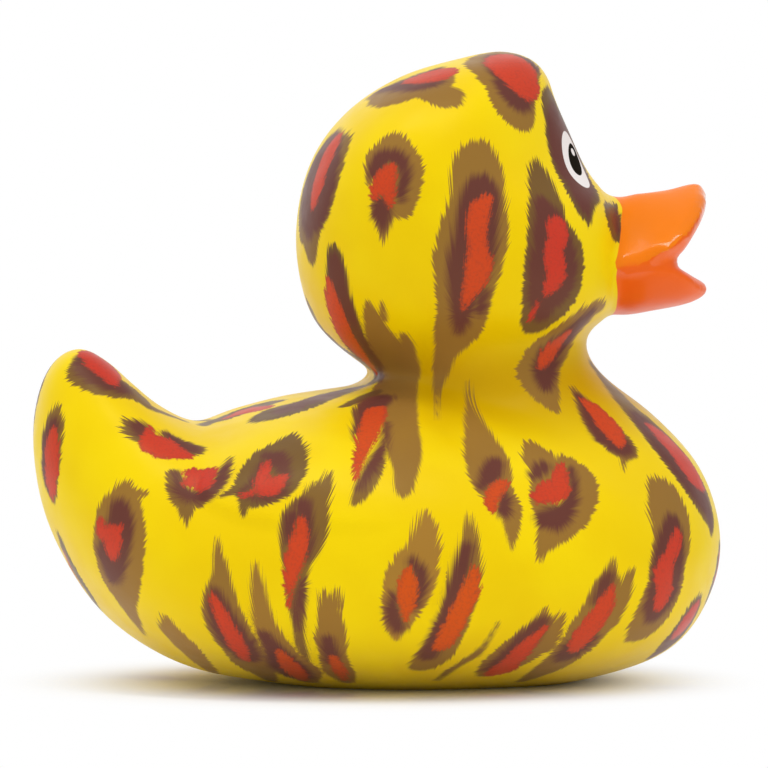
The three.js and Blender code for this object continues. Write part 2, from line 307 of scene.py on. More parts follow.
BODY_SPOTS = {
    "back_edge_rear": spot(deep=0.9, outer=[
        [(203, 425, 2), (220, 419, 4), (240, 412, 6), (262, 405, 5), (275, 402, 3)],
    ], core=[
        [(228, 417, 2), (245, 411, 4), (264, 408, 3)],
    ]),
    "back_edge_front": spot(deep=0.9, outer=[
        [(258, 419, 3), (278, 412, 7), (300, 406, 6), (322, 398, 5), (345, 391, 4), (368, 385, 2)],
    ], dark=[
        [(285, 410, 4), (310, 401, 4), (335, 393, 3), (355, 388, 2)],
    ]),
    "tail_top": spot(deep=0.7, warm=0.0, outer=[
        [(80, 358, 6), (80, 370, 12), (95, 375, 15), (112, 384, 11), (128, 390, 6), (140, 398, 4),
         (152, 408, 2), (185, 421, 1)],
    ], dark=[
        [(84, 354, 4), (80, 366, 7), (93, 376, 8), (110, 382, 8), (124, 388, 4)],
    ], core=[
        [(84, 354, 3), (95, 357, 5), (104, 367, 8), (110, 377, 6), (113, 383, 3)],
    ]),
    "tail_root": spot(deep=0.7, warm=0.1, outer=[
        [(124, 420, 3), (134, 428, 9), (143, 436, 8)],
        [(166, 434, 3), (178, 444, 6), (195, 450, 5)],
    ], dark=[
        [(133, 425, 4), (142, 429, 8), (149, 437, 6)],
        [(165, 433, 2), (177, 443, 5), (193, 449, 4)],
    ], core=[
        [(150, 427, 4), (150, 440, 8), (161, 446, 11), (174, 452, 7), (189, 456, 3)],
    ]),
    "rump_cup": spot(deep=0.6, warm=0.0, outer=[
        [(172, 474, 7), (176, 490, 10), (186, 504, 10), (186, 516, 5), (186, 527, 1)],
        [(200, 498, 7), (214, 488, 6), (224, 474, 5), (230, 458, 2)],
    ], dark=[
        [(176, 474, 5), (180, 488, 8), (194, 496, 7), (210, 490, 7), (220, 478, 6), (226, 467, 3)],
    ], core=[
        [(189, 473, 5), (209, 473, 5)],
        [(193, 480, 8), (204, 482, 8)],
    ]),
    "wing": spot(deep=0.8, warm=0.0, outer=[
        [(291, 435, 3), (284, 449, 13), (274, 464, 22), (266, 478, 24), (257, 491, 16)],
        [(302, 444, 4), (296, 464, 10), (286, 483, 12)],
        [(244, 500, 6), (243, 514, 3)],
        [(258, 500, 7), (285, 492, 6)],
        [(248, 482, 7), (234, 490, 4), (219, 497, 1)],
    ], dark=[
        [(268, 455, 5), (280, 462, 9), (285, 476, 6), (284, 487, 4)],
        [(246, 495, 3), (262, 498, 4), (280, 494, 4), (287, 486, 3)],
        [(262, 464, 4), (254, 482, 4), (240, 492, 2)],
    ], core=[
        [(267, 461, 3), (264, 473, 6), (262, 485, 8), (272, 486, 9), (281, 479, 5)],
        [(240, 496, 2), (252, 493, 3)],
    ]),
    "tail_edge": spot(deep=0.6, outer=[
        [(57, 410, 4), (54, 425, 9), (51, 442, 10), (50, 460, 9), (50, 478, 7), (52, 492, 4),
         (53, 500, 1)],
    ], dark=[
        [(53, 428, 6), (49, 440, 7), (46, 456, 5), (46, 474, 4), (49, 488, 2)],
    ], core=[
        [(53, 434, 4), (52, 448, 7), (51, 466, 7), (51, 482, 5), (52, 496, 2)],
    ]),
    "tail_side": spot(deep=0.3, warm=0.1, outer=[
        [(126, 488, 7), (122, 503, 15), (119, 520, 22), (118, 540, 25), (117, 560, 22), (117, 577, 16)],
        [(117, 577, 16), (121, 593, 9), (128, 608, 5), (138, 625, 2), (144, 634, 1)],
        [(136, 494, 6), (148, 494, 2)],
    ], dark=[
        [(119, 510, 10), (120, 523, 13), (117, 540, 15), (112, 556, 14), (111, 570, 8), (111, 579, 3)],
    ], core=[
        [(101, 520, 3), (102, 532, 6), (112, 536, 9), (112, 546, 8), (112, 555, 4)],
        [(112, 533, 6), (121, 528, 4)],
    ]),
    "flank": spot(deep=0.65, warm=0.4, outer=[
        [(329, 472, 2), (324, 487, 8), (313, 505, 15), (305, 520, 23), (303, 538, 22), (298, 556, 16)],
        [(298, 556, 16), (296, 575, 11), (296, 600, 9), (298, 622, 6), (301, 645, 5), (308, 662, 2)],
        [(313, 483, 2), (309, 497, 8)],
    ], dark=[
        [(293, 518, 8), (289, 530, 7), (287, 541, 4)],
        [(303, 506, 9), (308, 522, 6), (309, 540, 6), (306, 556, 5)],
        [(303, 583, 4), (299, 600, 6), (298, 615, 5), (300, 628, 3)],
    ], core=[
        [(301, 521, 5), (301, 534, 8), (298, 548, 10), (294, 562, 10), (291, 577, 7), (288, 592, 4),
         (289, 606, 2)],
    ]),
    "shoulder": spot(deep=0.6, warm=0.6, outer=[
        [(380, 400, 8), (366, 415, 8), (358, 432, 5)],
        [(378, 462, 7), (369, 480, 9), (360, 495, 7), (354, 503, 3)],
    ], dark=[
        [(378, 400, 6), (366, 412, 6), (358, 428, 4), (356, 440, 2)],
        [(386, 424, 4), (384, 442, 5), (375, 462, 7), (366, 476, 6), (360, 488, 4)],
    ], core=[
        [(377, 410, 7), (372, 422, 9), (367, 436, 9), (362, 450, 7), (358, 464, 5), (355, 478, 3)],
    ]),
    "belly_gold": spot(deep=0.05, warm=1.0, outer=[
        [(426, 512, 4), (427, 526, 11), (424, 545, 16), (419, 562, 20), (411, 580, 25), (404, 598, 21)],
        [(404, 598, 21), (400, 614, 17), (396, 628, 10), (397, 639, 3)],
    ], dark=[
        [(413, 562, 6), (420, 575, 8), (420, 590, 7), (414, 606, 5)],
        [(392, 598, 6), (393, 615, 9), (398, 628, 7)],
    ], core=[
        [(408, 571, 5), (408, 585, 10), (407, 600, 9), (406, 613, 5), (406, 620, 2)],
    ]),
    "belly_slant": spot(warm=1.0, outer=[
        [(469, 517, 3), (470, 532, 7), (470, 552, 11), (467, 575, 14), (461, 600, 15), (452, 625, 15)],
        [(452, 625, 15), (440, 648, 13), (426, 663, 8), (418, 668, 3)],
    ], dark=[
        [(467, 548, 7), (462, 565, 9), (456, 590, 9), (448, 612, 9), (440, 635, 9), (428, 655, 7)],
    ], core=[
        [(475, 569, 4), (472, 583, 8), (466, 600, 10), (458, 618, 10), (449, 634, 9), (441, 646, 6)],
    ]),
    "breast_drop": spot(deep=0.3, warm=0.7, outer=[
        [(468, 382, 1), (470, 404, 4), (475, 424, 9), (481, 444, 15), (488, 464, 20), (490, 480, 19),
         (486, 490, 10)],
        [(505, 490, 8), (511, 508, 10), (512, 528, 8), (512, 550, 1)],
    ], dark=[
        [(495, 464, 9), (490, 474, 11), (482, 486, 6)],
        [(505, 496, 6), (503, 510, 9)],
    ], core=[
        [(504, 483, 5), (496, 490, 8), (491, 500, 8), (492, 509, 4)],
    ]),
    "breast_cup": spot(deep=0.3, outer=[
        [(530, 445, 5), (537, 456, 12), (545, 465, 14), (542, 482, 12), (540, 498, 10), (548, 514, 12)],
        [(545, 466, 13), (556, 468, 8), (566, 464, 8)],
        [(566, 463, 8), (579, 477, 13), (585, 492, 13), (579, 508, 15), (566, 522, 16), (552, 532, 15)],
        [(552, 532, 15), (543, 546, 8), (540, 561, 2)],
    ], dark=[
        [(534, 475, 6), (543, 467, 8)],
        [(572, 470, 4), (573, 490, 6), (568, 506, 9), (556, 518, 12), (543, 519, 9)],
    ], core=[
        [(562, 465, 4), (560, 477, 9), (556, 489, 12), (546, 493, 11), (538, 497, 7)],
        [(562, 488, 9), (562, 496, 5)],
    ]),
    "breast_pod": spot(deep=0.5, warm=0.5, outer=[
        [(574, 389, 2), (583, 402, 5), (594, 416, 9), (606, 430, 12), (618, 443, 12), (625, 450, 8),
         (623, 462, 3), (624, 472, 1)],
    ], dark=[
        [(580, 397, 3), (590, 412, 7), (603, 430, 10), (615, 442, 10), (624, 447, 7)],
    ], core=[
        [(586, 402, 3), (597, 412, 6), (607, 424, 8), (615, 435, 7), (619, 444, 4)],
    ]),
    "breast_edge": spot(deep=0.7, warm=0.0, outer=[
        [(594, 367, 3), (613, 389, 4.5), (631, 409, 5.5), (650, 427, 8), (665, 443, 10), (680, 461, 11)],
        [(680, 461, 11), (694, 482, 10), (704, 501, 8), (710, 519, 4), (711, 534, 1)],
    ], dark=[
        [(640, 419, 4), (655, 433, 7), (670, 450, 9), (685, 470, 9), (698, 490, 7), (707, 508, 4),
         (711, 524, 2)],
    ], core=[
        [(650, 427, 2), (664, 438, 5), (677, 452, 6), (689, 468, 7), (698, 479, 4)],
    ]),
    "breast_ring": spot(deep=0.35, warm=0.1, outer=[
        [(662, 487, 6), (668, 503, 16), (672, 520, 18), (673, 540, 18), (670, 562, 17), (667, 585, 17)],
        [(667, 585, 17), (658, 606, 16), (648, 622, 13), (638, 632, 7)],
        [(651, 506, 4), (657, 516, 8)],
    ], dark=[
        [(674, 526, 8), (672, 542, 13), (670, 560, 15), (667, 580, 15), (660, 600, 13), (654, 613, 7)],
    ], core=[
        [(678, 534, 4), (675, 546, 6), (668, 560, 7), (664, 575, 9), (665, 588, 8), (661, 602, 6)],
        [(664, 573, 6), (656, 573, 4)],
    ]),
    "breast_foot": spot(deep=0.35, warm=0.3, outer=[
        [(614, 560, 2), (610, 578, 9), (606, 594, 15), (601, 610, 17), (592, 626, 17), (580, 642, 14)],
        [(580, 642, 14), (566, 656, 9), (545, 670, 5), (522, 681, 2)],
        [(632, 571, 3), (626, 586, 7), (619, 602, 9), (609, 620, 9)],
    ], dark=[
        [(610, 576, 5), (604, 588, 8), (597, 600, 6)],
        [(584, 640, 9), (572, 651, 8), (562, 658, 4)],
    ], core=[
        [(611, 587, 3), (608, 600, 7), (600, 613, 9), (591, 626, 9), (582, 638, 8), (576, 648, 5)],
    ]),
    "belly_slip": spot(deep=0.35, warm=0.3, outer=[
        [(545, 610, 3), (543, 625, 10), (534, 638, 14), (522, 650, 14), (508, 660, 11), (494, 669, 6),
         (483, 675, 2)],
        [(562, 617, 3), (554, 632, 7), (543, 646, 9)],
    ], dark=[
        [(542, 622, 6), (530, 636, 9), (516, 650, 8), (502, 661, 5), (490, 669, 3)],
    ], core=[
        [(546, 627, 2), (538, 635, 4), (527, 646, 6), (516, 657, 6), (505, 668, 5), (490, 675, 2)],
    ]),
    "breast_under": spot(deep=0.8, warm=0.0, outer=[
        [(697, 604, 3), (690, 617, 7), (680, 632, 8), (668, 646, 6), (654, 656, 3)],
    ], dark=[
        [(694, 612, 4), (684, 627, 7), (674, 640, 6), (660, 652, 4)],
    ], core=[
        [(697, 606, 2), (690, 617, 5), (683, 627, 5)],
    ]),
    "rear_pod": spot(outer=[
        [(217, 540, 2), (218, 555, 5), (221, 575, 9), (220, 595, 15), (222, 612, 18), (228, 628, 17)],
        [(228, 628, 17), (238, 644, 14), (248, 658, 10), (260, 671, 6), (272, 681, 2)],
    ], dark=[
        [(216, 595, 7), (219, 610, 12), (226, 626, 13), (237, 643, 11), (247, 656, 7)],
    ], core=[
        [(213, 598, 4), (219, 610, 6), (226, 625, 7), (233, 638, 7), (240, 650, 5), (246, 660, 2)],
    ]),
    "rear_blade": spot(deep=0.25, warm=0.9, outer=[
        [(256, 565, 2), (257, 580, 6), (260, 603, 9), (265, 624, 10), (274, 642, 10), (285, 658, 10),
         (297, 671, 9), (308, 681, 4)],
    ], dark=[
        [(265, 636, 6), (273, 648, 7), (285, 663, 8), (298, 676, 6)],
    ], core=[
        [(280, 652, 3), (288, 663, 5), (297, 674, 4), (303, 680, 2)],
    ]),
    "belly_comb": spot(deep=0.3, warm=1.0, outer=[
        [(323, 592, 3), (328, 606, 10), (330, 622, 14), (331, 640, 15), (333, 656, 12), (339, 671, 8),
         (347, 682, 3)],
        [(338, 591, 3), (337, 605, 7)],
    ], dark=[
        [(328, 640, 7), (330, 652, 8), (333, 662, 6)],
    ], core=[
        [(333, 658, 4), (339, 669, 4), (345, 680, 2)],
    ]),
    "rear_streak": spot(deep=0.2, outer=[
        [(165, 618, 3), (171, 630, 6), (181, 641, 6), (192, 653, 5), (203, 664, 4), (214, 673, 2)],
    ]),
    "belly_streak": spot(deep=0.5, outer=[
        [(498, 624, 1), (488, 640, 1.5), (478, 653, 3), (460, 664, 2), (445, 674, 1.5), (437, 680, 1)],
    ]),
    "rear_edge": spot(deep=0.9, outer=[
        [(60, 538, 2), (66, 554, 3.5), (76, 573, 4), (88, 592, 3.5), (98, 608, 2)],
    ], core=[
        [(64, 552, 1), (72, 570, 1.5), (82, 586, 1)],
    ]),
    "front_edge": spot(deep=0.9, outer=[
        [(720, 545, 2), (718, 562, 4), (715, 580, 4), (708, 600, 2)],
    ], core=[
        [(720, 554, 1), (718, 566, 1.5), (715, 582, 1)],
    ]),
}


def smoothstep(value, low, high):
    share = np.clip((value - low) / (high - low), 0, 1)
    return share * share * (3 - 2 * share)


def loop_at(points, places):
    """Points on the closed centripetal Catmull-Rom curve, at places from 0 to 1 by control point."""
    count = len(points)
    at = (places % 1.0) * count
    low = np.floor(at).astype(int)
    share = (at - low)[:, None]
    p0, p1, p2, p3 = (points[(low + k) % count] for k in (-1, 0, 1, 2))
    gap = lambda a, b: np.maximum(np.linalg.norm(a - b, axis=1, keepdims=True), TINY) ** 0.5
    g0, g1, g2 = gap(p0, p1), gap(p1, p2), gap(p2, p3)
    t1 = ((p1 - p0) / g0 - (p2 - p0) / (g0 + g1) + (p2 - p1) / g1) * g1
    t2 = ((p2 - p1) / g1 - (p3 - p1) / (g1 + g2) + (p3 - p2) / g2) * g1
    c2 = -3 * p1 + 3 * p2 - 2 * t1 - t2
    c3 = 2 * p1 - 2 * p2 + t1 + t2
    return p1 + share * (t1 + share * (c2 + share * c3))


def round_section(character, turn):
    """How far a section is down from back to belly and out from the middle, at a turn from the back."""
    taper, fullness = np.hsplit(character, 2)
    out = (np.sin(turn) + fullness * np.sin(3 * turn)) / (1 - fullness)
    return (1 - np.cos(turn)) / 2, out * (1 + taper * np.cos(turn))


def lipped_section(lip, turn):
    """The same for a section of the upper bill, which turns under at its lip."""
    out = np.sin(turn)
    over = lip * np.abs(out) ** ROOF
    under = 1 - (1 - lip) * np.abs(out) ** RIM
    return np.where(np.cos(turn) > 0, over, under), out


def ring_grid(start, ribs, end, pitch, fairing, section=round_section):
    """The skin over a row of ribs, as rings of points, with the point at each end."""
    steps, around = pitch
    ribs = np.array(ribs, dtype=float)
    tip = lambda p: np.array([[p[0], 0.0, p[1]]])
    backs = ribs[:, [0, 4, 1]]
    bellies = ribs[:, [2, 4, 3]] * (1, -1, 1)
    loop = np.vstack([tip(start), backs, tip(end), bellies[::-1]])
    fine = np.linspace(0, 1, FINE_STEPS * steps + 1)
    back, belly = loop_at(loop, fine / 2), loop_at(loop, 1 - fine / 2)
    stride = lambda line: np.linalg.norm(np.diff(line, axis=0), axis=1)
    travelled = np.concatenate([[0], np.cumsum(np.maximum(stride(back), stride(belly)))])
    places = np.interp(np.linspace(0, travelled[-1], steps + 1)[1:-1], travelled, fine)
    back, belly = loop_at(loop, places / 2), loop_at(loop, 1 - places / 2)

    at = places * (len(ribs) + 1) - 1
    low = np.clip(np.floor(at).astype(int), 0, len(ribs) - 1)
    high = np.minimum(low + 1, len(ribs) - 1)
    share = smoothstep(at - low, 0, 1)[:, None]
    character = ribs[low, 5:] + share * (ribs[high, 5:] - ribs[low, 5:])

    turn = np.linspace(0, 2 * math.pi, around, endpoint=False)[None, :]
    half = (back[:, 1:2] - belly[:, 1:2]) / 2
    down, out = section(character, turn)
    rings = np.empty((len(places), around, 3))
    rings[..., 0] = back[:, 0:1] + down * (belly[:, 0:1] - back[:, 0:1])
    rings[..., 1] = half * out
    rings[..., 2] = back[:, 2:3] + down * (belly[:, 2:3] - back[:, 2:3])
    first, final = loop_at(loop, np.array([0.0, 0.5]))
    ends = lambda p: np.broadcast_to(p, (1, around, 3))
    for _ in range(fairing):
        for pull in (FAIR_IN, FAIR_OUT):
            along = np.concatenate([ends(first), rings, ends(final)])
            middle = along[:-2] + along[2:] + np.roll(rings, 1, 1) + np.roll(rings, -1, 1)
            rings = rings + pull * (middle / 4 - rings)
    return first, rings, final


def grid_mesh(name, first, rings, final):
    """A closed mesh over the rings, subdivided."""
    count, around, _ = rings.shape
    points = np.vstack([first, rings.reshape(-1, 3), final])
    ring = lambda i, j: 1 + i * around + j % around
    faces = []
    for j in range(around):
        faces.append((0, ring(0, j), ring(0, j + 1)))
        for i in range(count - 1):
            faces.append((ring(i, j), ring(i + 1, j), ring(i + 1, j + 1), ring(i, j + 1)))
        faces.append((ring(count - 1, j), len(points) - 1, ring(count - 1, j + 1)))
    mesh = bpy.data.meshes.new(name)
    mesh.from_pydata((points * MM).tolist(), [], faces)
    piece = bpy.data.objects.new(name, mesh)
    bpy.context.scene.collection.objects.link(piece)
    smooth = piece.modifiers.new("Smooth", "SUBSURF")
    smooth.levels = SUBDIVISIONS
    apply_modifiers(piece)
    return piece


def apply_modifiers(piece):
    graph = bpy.context.evaluated_depsgraph_get()
    made = bpy.data.meshes.new_from_object(piece.evaluated_get(graph))
    piece.modifiers.clear()
    old = piece.data
    piece.data = made
    bpy.data.meshes.remove(old)


def points_of(mesh):
    flat = np.empty(len(mesh.vertices) * 3)
    mesh.vertices.foreach_get("co", flat)
    return flat.reshape(-1, 3) / MM


def normals_of(mesh):
    flat = np.empty(len(mesh.vertices) * 3)
    mesh.vertex_normals.foreach_get("vector", flat)
    return flat.reshape(-1, 3)


def set_points(mesh, points):
    mesh.vertices.foreach_set("co", (points * MM).ravel())
    mesh.update()


def wing_relief(points):
    """How far a folded wing stands out at each point: crisp below, fading above and ahead."""
    x, z = points[:, 0], points[:, 2]
    along = (WING_DEEPEST[0] - x) / (WING_DEEPEST[0] - WING_TIP[0])
    middle = WING_DEEPEST[1] + along * (WING_TIP[1] - WING_DEEPEST[1])
    roundness = np.sqrt(np.clip(1 - along * np.abs(along), 0, 1))
    foot = middle - WING_BELOW * roundness
    below = smoothstep(z, foot, foot + WING_EDGE)
    above = 1 - smoothstep(z, middle, middle + np.maximum(WING_ABOVE * roundness, TINY))
    ahead = smoothstep(along, *WING_FADE)
    return np.where(roundness > 0, WING_RELIEF * below * above * ahead, 0)


def fold_share(points):
    """How near a point is to the fold beside the neck."""
    off = (points[:, [0, 2]] - FOLD_MIDDLE) / FOLD_REACH
    near = smoothstep(np.linalg.norm(off, axis=1), 1, FOLD_CORE)
    return near * smoothstep(np.abs(points[:, 1]), *FOLD_SIDE)


def brow_share(points):
    """How near a point is to the corner between the bill's top and the face."""
    return smoothstep(np.linalg.norm(points[:, [0, 2]] - BROW, axis=1), *BROW_BAND)


def neck_shade_share(points):
    """How much painted shade under the head deepens the yellow round the neck."""
    off = np.abs(points[:, 2] - NECK_SHADE_HEIGHT)
    return smoothstep(off, NECK_SHADE_REACH, 0) * smoothstep(points[:, 0], *NECK_SHADE_FROM)


def push_out(piece, distance):
    """Moves each point of a piece along its normal."""
    set_points(piece.data, points_of(piece.data) + normals_of(piece.data) * distance[:, None])


def tree_of(piece):
    return BVHTree.FromPolygons(
        points_of(piece.data).tolist(), [tuple(p.vertices) for p in piece.data.polygons]
    )


def nearest(tree, points):
    """The nearest point of a surface to each point, and how far it is."""
    found = [tree.find_nearest(p) for p in points.tolist()]
    return np.array([f[0] for f in found]), np.array([f[3] for f in found])


def edge_neighbours(mesh):
    pairs = np.empty(len(mesh.edges) * 2, dtype=int)
    mesh.edges.foreach_get("vertices", pairs)
    return pairs.reshape(-1, 2)


def smooth_points(points, pairs, weight, passes):
    """Moves each point towards the middle of its neighbours, by its weight."""
    ends = np.concatenate([pairs[:, 0], pairs[:, 1]])
    others = np.concatenate([pairs[:, 1], pairs[:, 0]])
    moved = weight[ends] > 0
    ends, others = ends[moved], others[moved]
    count = np.maximum(np.bincount(ends, minlength=len(points)), 1)
    for _ in range(passes):
        total = [np.bincount(ends, points[others, k], len(points)) for k in range(3)]
        points = points + weight[:, None] * (np.stack(total, axis=1) / count[:, None] - points)
    return points


def on_right(points):
    """The points with those of the left side moved to the right side."""
    return np.stack([points[:, 0], -np.abs(points[:, 1]), points[:, 2]], axis=1)


def stroke_distance(points, places, radii):
    """How far each point is outside a stroke, in mm. It is negative within."""
    best = np.full(len(points), np.inf)
    for a, b, ra, rb in zip(places[:-1], places[1:], radii[:-1], radii[1:]):
        step = b - a
        t = np.clip((points - a) @ step / max(step @ step, TINY ** 2), 0, 1)
        gap = np.linalg.norm(points - a - t[:, None] * step, axis=1) - (ra + t * (rb - ra))
        best = np.minimum(best, gap)
    return best


def line_distance(points, line):
    """How far each point of either side is from a line of the right side."""
    return stroke_distance(on_right(points), line, np.zeros(len(line)))


def snap_to_lip(points, line):
    """Moves the points beside the bill's lip onto it, so that the lip is one clean edge."""
    rows = np.linspace(0, len(line) - 1, LIP_STEPS)
    places = np.stack([np.interp(rows, np.arange(len(line)), line[:, k]) for k in range(3)], axis=1)
    close = np.flatnonzero(line_distance(points, line) < LIP_SNAP)
    off = np.linalg.norm(on_right(points[close])[:, None] - places[None], axis=2)
    moved = places[np.argmin(off, axis=1)]
    moved[:, 1] *= np.where(points[close, 1] > 0, -1, 1)
    points = points.copy()
    points[close] = moved
    return points


def lip_rise(points, line):
    """How far each point is from the lip of the upper bill, in mm. It is negative below."""
    along = np.argsort(line[:, 0])
    height = np.interp(points[:, 0], line[along, 0], line[along, 2])
    return line_distance(points, line) * np.sign(points[:, 2] - height)


def cut_vent(body):
    """Cuts the breather hole into the base, as deep as the wall."""
    bpy.ops.mesh.primitive_cylinder_add(
        vertices=VENT_FACETS, radius=VENT_DIAMETER / 2 * MM, depth=2 * WALL * MM,
        location=(VENT_X * MM, 0, 0),
    )
    drill = bpy.context.object
    cut = body.modifiers.new("Vent", "BOOLEAN")
    cut.operation = "DIFFERENCE"
    cut.object = drill
    apply_modifiers(body)
    bpy.data.objects.remove(drill)


def fuse(body, others):
    """Joins the pieces into the first as one even skin."""
    pieces = [body, *others]
    with bpy.context.temp_override(
        active_object=body, object=body, selected_objects=pieces, selected_editable_objects=pieces
    ):
        bpy.ops.object.join()
    remesh = body.modifiers.new("Fuse", "REMESH")
    remesh.mode = "VOXEL"
    remesh.voxel_size = VOXEL * MM
    remesh.adaptivity = 0
    apply_modifiers(body)


def make_skin():
    """The duck's outer skin as one mesh, the surfaces it was joined from, and the bill's lip."""
    body = grid_mesh("duck_skin", *ring_grid(TAIL_TIP, BODY_RIBS, CROWN, BODY_PITCH, FAIRING))
    push_out(body, wing_relief(points_of(body.data)))
    roof = ring_grid(UPPER_ROOT, UPPER_RIBS, UPPER_TIP, BILL_PITCH, 0, lipped_section)
    lip = on_right(roof[1][:, BILL_PITCH[1] // 4])
    upper = grid_mesh("upper", *roof)
    jaw = ring_grid(LOWER_ROOT, LOWER_RIBS, LOWER_TIP, BILL_PITCH, LOWER_FAIRING)
    lower = grid_mesh("lower", *jaw)
    trees = tree_of(body), tree_of(upper), tree_of(lower)
    fuse(body, [upper, lower])

    # Back onto the exact surfaces, but for the seams between them
    points = points_of(body.data)
    found = [nearest(tree, points) for tree in trees]
    gaps = np.stack([gap for _, gap in found])
    best = np.argmin(gaps, axis=0)
    exact = np.stack([on for on, _ in found])[best, np.arange(len(points))]
    two = np.sort(gaps, axis=0)[:2]
    seam = smoothstep(two[1] - two[0], *SEAM)
    points = exact + seam[:, None] * (points - exact)

    pairs = edge_neighbours(body.data)
    points = smooth_points(points, pairs, EASE * seam, SEAM_EASING)
    points = smooth_points(points, pairs, EASE * brow_share(points), BROW_EASING)
    points = smooth_points(points, pairs, EASE * fold_share(points), FOLD_EASING)
    points = snap_to_lip(points, lip)
    beside_lip = smoothstep(line_distance(points, lip), *LIP_BAND)
    points = smooth_points(points, pairs, EASE * beside_lip, LIP_EASING)
    points = smooth_points(points, pairs, np.full(len(points), LAST_EASE), LAST_EASING)
    points[:, 2] = np.maximum(points[:, 2], 0)
    set_points(body.data, points)
    cut_vent(body)
    return body, trees, lip


# How a stroke is laid: points put between its own, the furthest a pixel off the skin is moved in, the
# least that the skin faces the camera where a radius is stretched, and the least radius in pixels
STROKE_STEPS = 4
SEARCH_PX = 60
LEAST_FACING = 0.3
LEAST_RADIUS = 0.5
HEAD_MIDDLE_PX = np.array([440.0, 230.0])
BODY_MIDDLE_PX = np.array([400.0, 540.0])
NECK_PX = 385.0

# How far a spot's fields reach, the value beyond them, and the hairs that radiate in a spot
REACH = 4.0
FAR = 9.0
SAME_SIDE = -0.3
HAIR_PITCH = 0.32
HAIR_CENTRE = 0.25
HAIR_INNER = 0.05
HAIR_RISE = 0.8
SPOT_SHIFT = 7.3

# Where the rest of the print goes: spots of the photographed side, repeated over the sides that it
# doesn't show, down the flow of the print
REPEATED_SPOTS = (
    "cheek_round", "breast_ring", "tail_side", "cheek_front", "breast_cup", "rear_pod", "nape",
    "belly_gold", "breast_drop", "tail_edge",
)
SEED = 20
HIDDEN_FACING = -0.12
PRINT_FLOOR = 6.0
PLACE_STRIDE = 9
SPOT_GAP = 3.2
WIDE_GAP = 1.7 * SPOT_GAP
LEAST_GAP = 1.6 * SPOT_GAP
GAP_CAP = 2.6 * SPOT_GAP
GAP_SHUFFLE = 0.8
SPOT_MARGIN = 0.4 * SPOT_GAP
SPOT_SCALE = (0.55, 1.1)
SPOT_LENGTH = 1.7
FLOW_MIDDLE = 5.0
FLOW_HALF = 40.0
FLOW_FAN = (0.12, 0.3)
TOP_FACING = 0.85
TOP_SWEEP = np.array([-1.5, 0.0, 0.0])

# The painted eye: a place on the right side of the head in mm, the way it faces, and its ovals, each
# with its middle across and up from that place, its half width and height, and how far it leans
EYE_PLACE = (26.28, -7.51, 71.86)
EYE_FACING = (0.74, -0.48, 0.47)
EYE_DEPTH = 4.0
EYE_OVAL = {"middle": (-0.75, -0.1), "half": (3.0, 4.65), "turn": math.radians(-24)}
PUPIL_OVAL = {"middle": (-0.1, 0.1), "half": (1.75, 2.95), "turn": math.radians(-42)}
GLINT_OVAL = {"middle": (0.5, 1.25), "half": (0.7, 0.55), "turn": math.radians(20)}

# The part of the skin, by x and z, where the bill's paint is measured, and what the print keeps off
FRONT = (24, 44)
BARE_BILL = 3
BARE_EYE = 6


def sight(x, y):
    """The direction from the camera through a pixel."""
    middle = IMAGE_SIDE / 2
    way = ((x - middle) * RIGHT - (y - middle) * UP) / PX_PER_MM - TOWARDS * VIEW_DISTANCE
    return way / np.linalg.norm(way)


def land(tree, x, y):
    """The point of the skin at a pixel and its normal, moved in where the pixel is just off it."""
    middle = HEAD_MIDDLE_PX if y < NECK_PX else BODY_MIDDLE_PX
    inward = middle - (x, y)
    inward = inward / max(np.linalg.norm(inward), 1)
    for step in range(SEARCH_PX):
        place = np.array((x, y)) + step * inward
        spot_on, normal, _, _ = tree.ray_cast(Vector(CAMERA_PLACE), Vector(sight(*place)))
        if spot_on is not None:
            return np.array(spot_on), np.array(normal)
    raise ValueError(f"no skin near pixel {x}, {y}")


def softened(stroke):
    """A stroke's points with more between them, on a smooth curve."""
    rows = np.array(stroke, dtype=float)
    ends = np.vstack([2 * rows[0] - rows[1], rows, 2 * rows[-1] - rows[-2]])
    out = []
    for k in range(len(rows) - 1):
        p0, p1, p2, p3 = ends[k:k + 4]
        slope_in, slope_out = (p2 - p0) / 2, (p3 - p1) / 2
        square = 3 * (p2 - p1) - 2 * slope_in - slope_out
        cube = 2 * (p1 - p2) + slope_in + slope_out
        for t in np.arange(STROKE_STEPS) / STROKE_STEPS:
            out.append(p1 + t * (slope_in + t * (square + t * cube)))
    out.append(rows[-1])
    return np.array(out)


def lay_photo_stroke(tree, stroke):
    """A stroke of the photograph laid on the skin: its points, their radii in mm and its normals."""
    rows = softened(stroke)
    along = np.gradient(rows[:, :2], axis=0)
    places, radii, normals = [], [], []
    for (x, y, radius), (dx, dy) in zip(rows, along):
        place, normal = land(tree, x, y)
        facing = max(-normal @ sight(x, y), LEAST_FACING)
        lean = np.array([normal @ RIGHT, normal @ UP])
        lean = lean / max(np.linalg.norm(lean), TINY)
        across = np.array([dy, dx]) / max(math.hypot(dx, dy), TINY)
        slant = across @ lean
        stretch = math.sqrt((slant / facing) ** 2 + 1 - slant ** 2)
        places.append(place)
        normals.append(normal)
        radii.append(max(radius, LEAST_RADIUS) / PX_PER_MM * stretch)
    return np.array(places), np.array(radii), np.array(normals)


def lay_repeat_stroke(tree, stroke, middle, place, across, along, scale):
    """A stroke of a repeated spot laid on the skin about another place."""
    rows = softened(stroke)
    local = (rows[:, :2] - middle) * scale / PX_PER_MM
    flat = place + local[:, :1] * across + local[:, 1:] * along
    found = [tree.find_nearest(p) for p in flat.tolist()]
    places = np.array([f[0] for f in found])
    return places, rows[:, 2] * scale / PX_PER_MM, np.array([f[1] for f in found])


